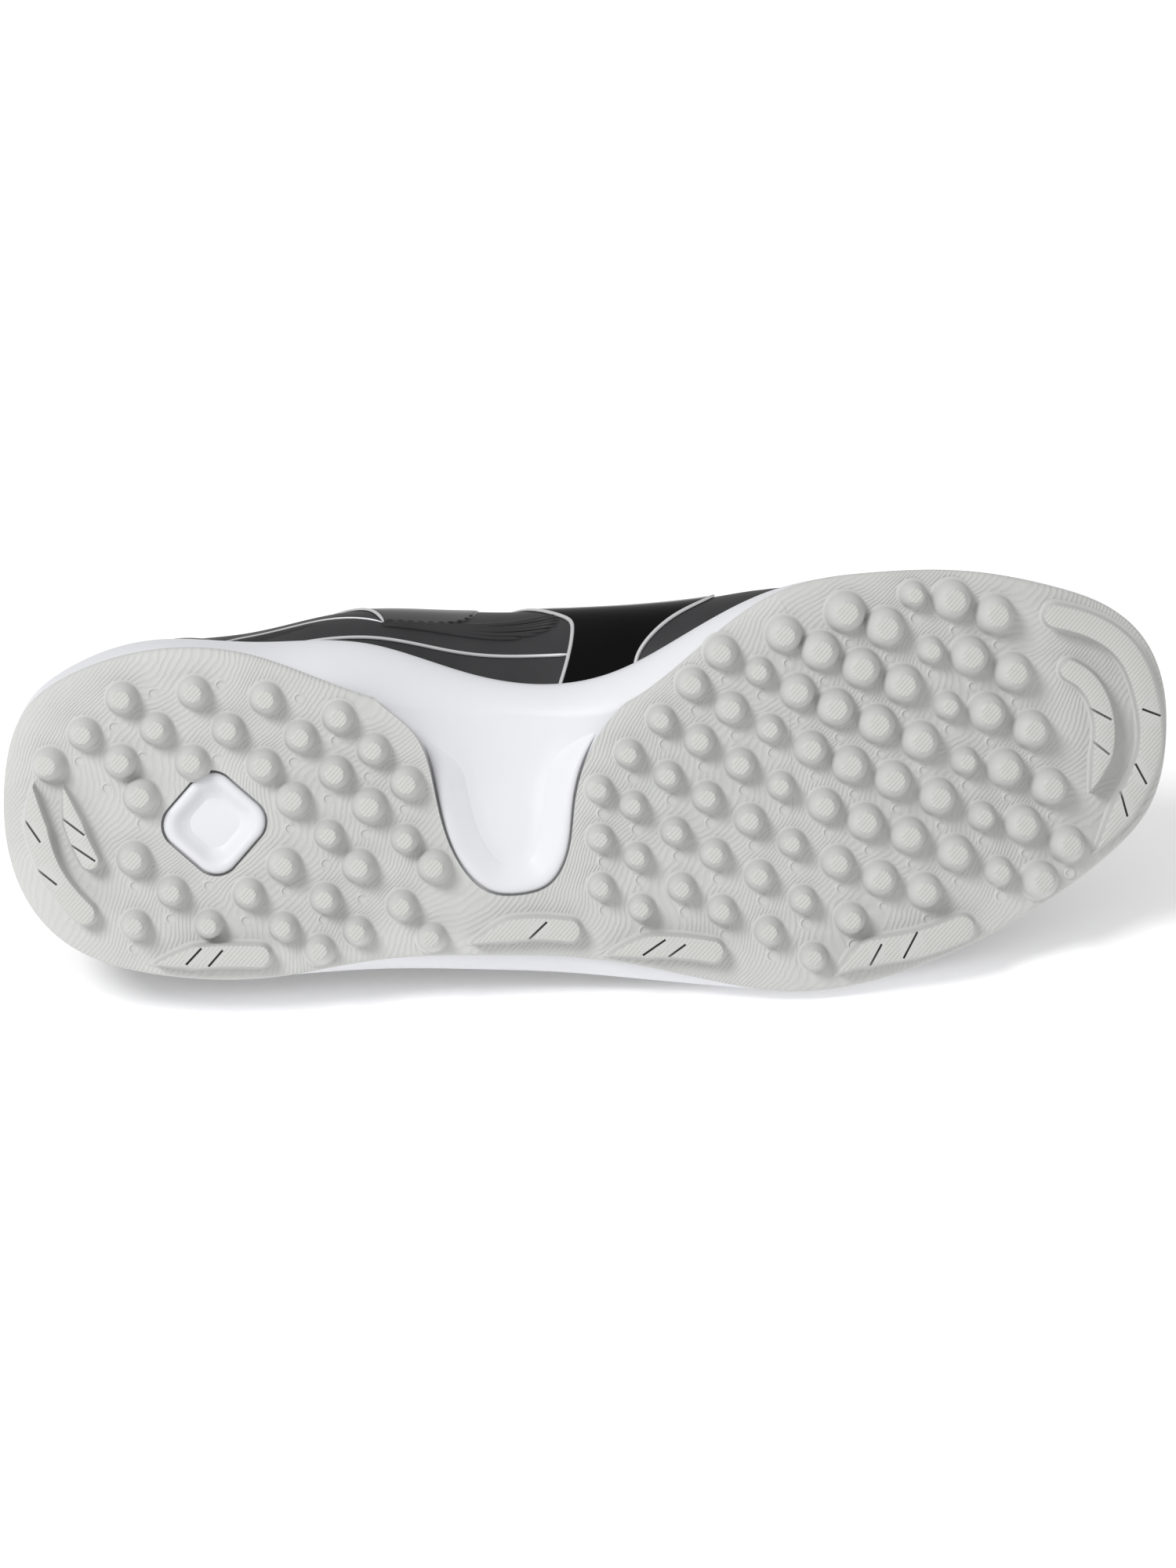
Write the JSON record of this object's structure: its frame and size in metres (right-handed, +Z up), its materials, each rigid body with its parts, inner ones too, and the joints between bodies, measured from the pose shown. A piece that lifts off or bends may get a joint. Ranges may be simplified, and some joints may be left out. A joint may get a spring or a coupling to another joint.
{
  "type": "turf shoe",
  "caption": "Low lace-up turf shoe for the left foot: studded rubber outsole with an arch cut-out and a heel window, foam cup midsole and a hollow upper.",
  "frame": {"origin": "centre of the bottom of the box, on the floor, with the shoe lying on its lateral side", "axes": "+X from heel to toe, -Y the way the sole faces, +Z up, which is the shoe's medial side"},
  "size_m": [0.285, 0.1, 0.0973],
  "materials": {
    "outsole_rubber": "matte pale grey moulded rubber, fine swirled relief between the studs",
    "midsole_foam": "smooth white moulded foam with a soft sheen",
    "insole_fabric": "dark knitted cover over foam",
    "upper_leather": "charcoal synthetic leather, matt, with glossy black panels and thin silver edges",
    "tongue_fabric": "charcoal padded mesh",
    "lace_fabric": "flat black woven lace"
  },
  "bodies": {
    "root": {"outsole": "outsole_rubber", "midsole": "midsole_foam", "insole": "insole_fabric", "upper": "upper_leather", "tongue": "tongue_fabric", "lace_bar": "lace_fabric", "lace_cross_1": "lace_fabric", "lace_cross_2": "lace_fabric", "lace_cross_3": "lace_fabric", "lace_cross_4": "lace_fabric", "lace_cross_5": "lace_fabric"}
  },
  "joints": []
}
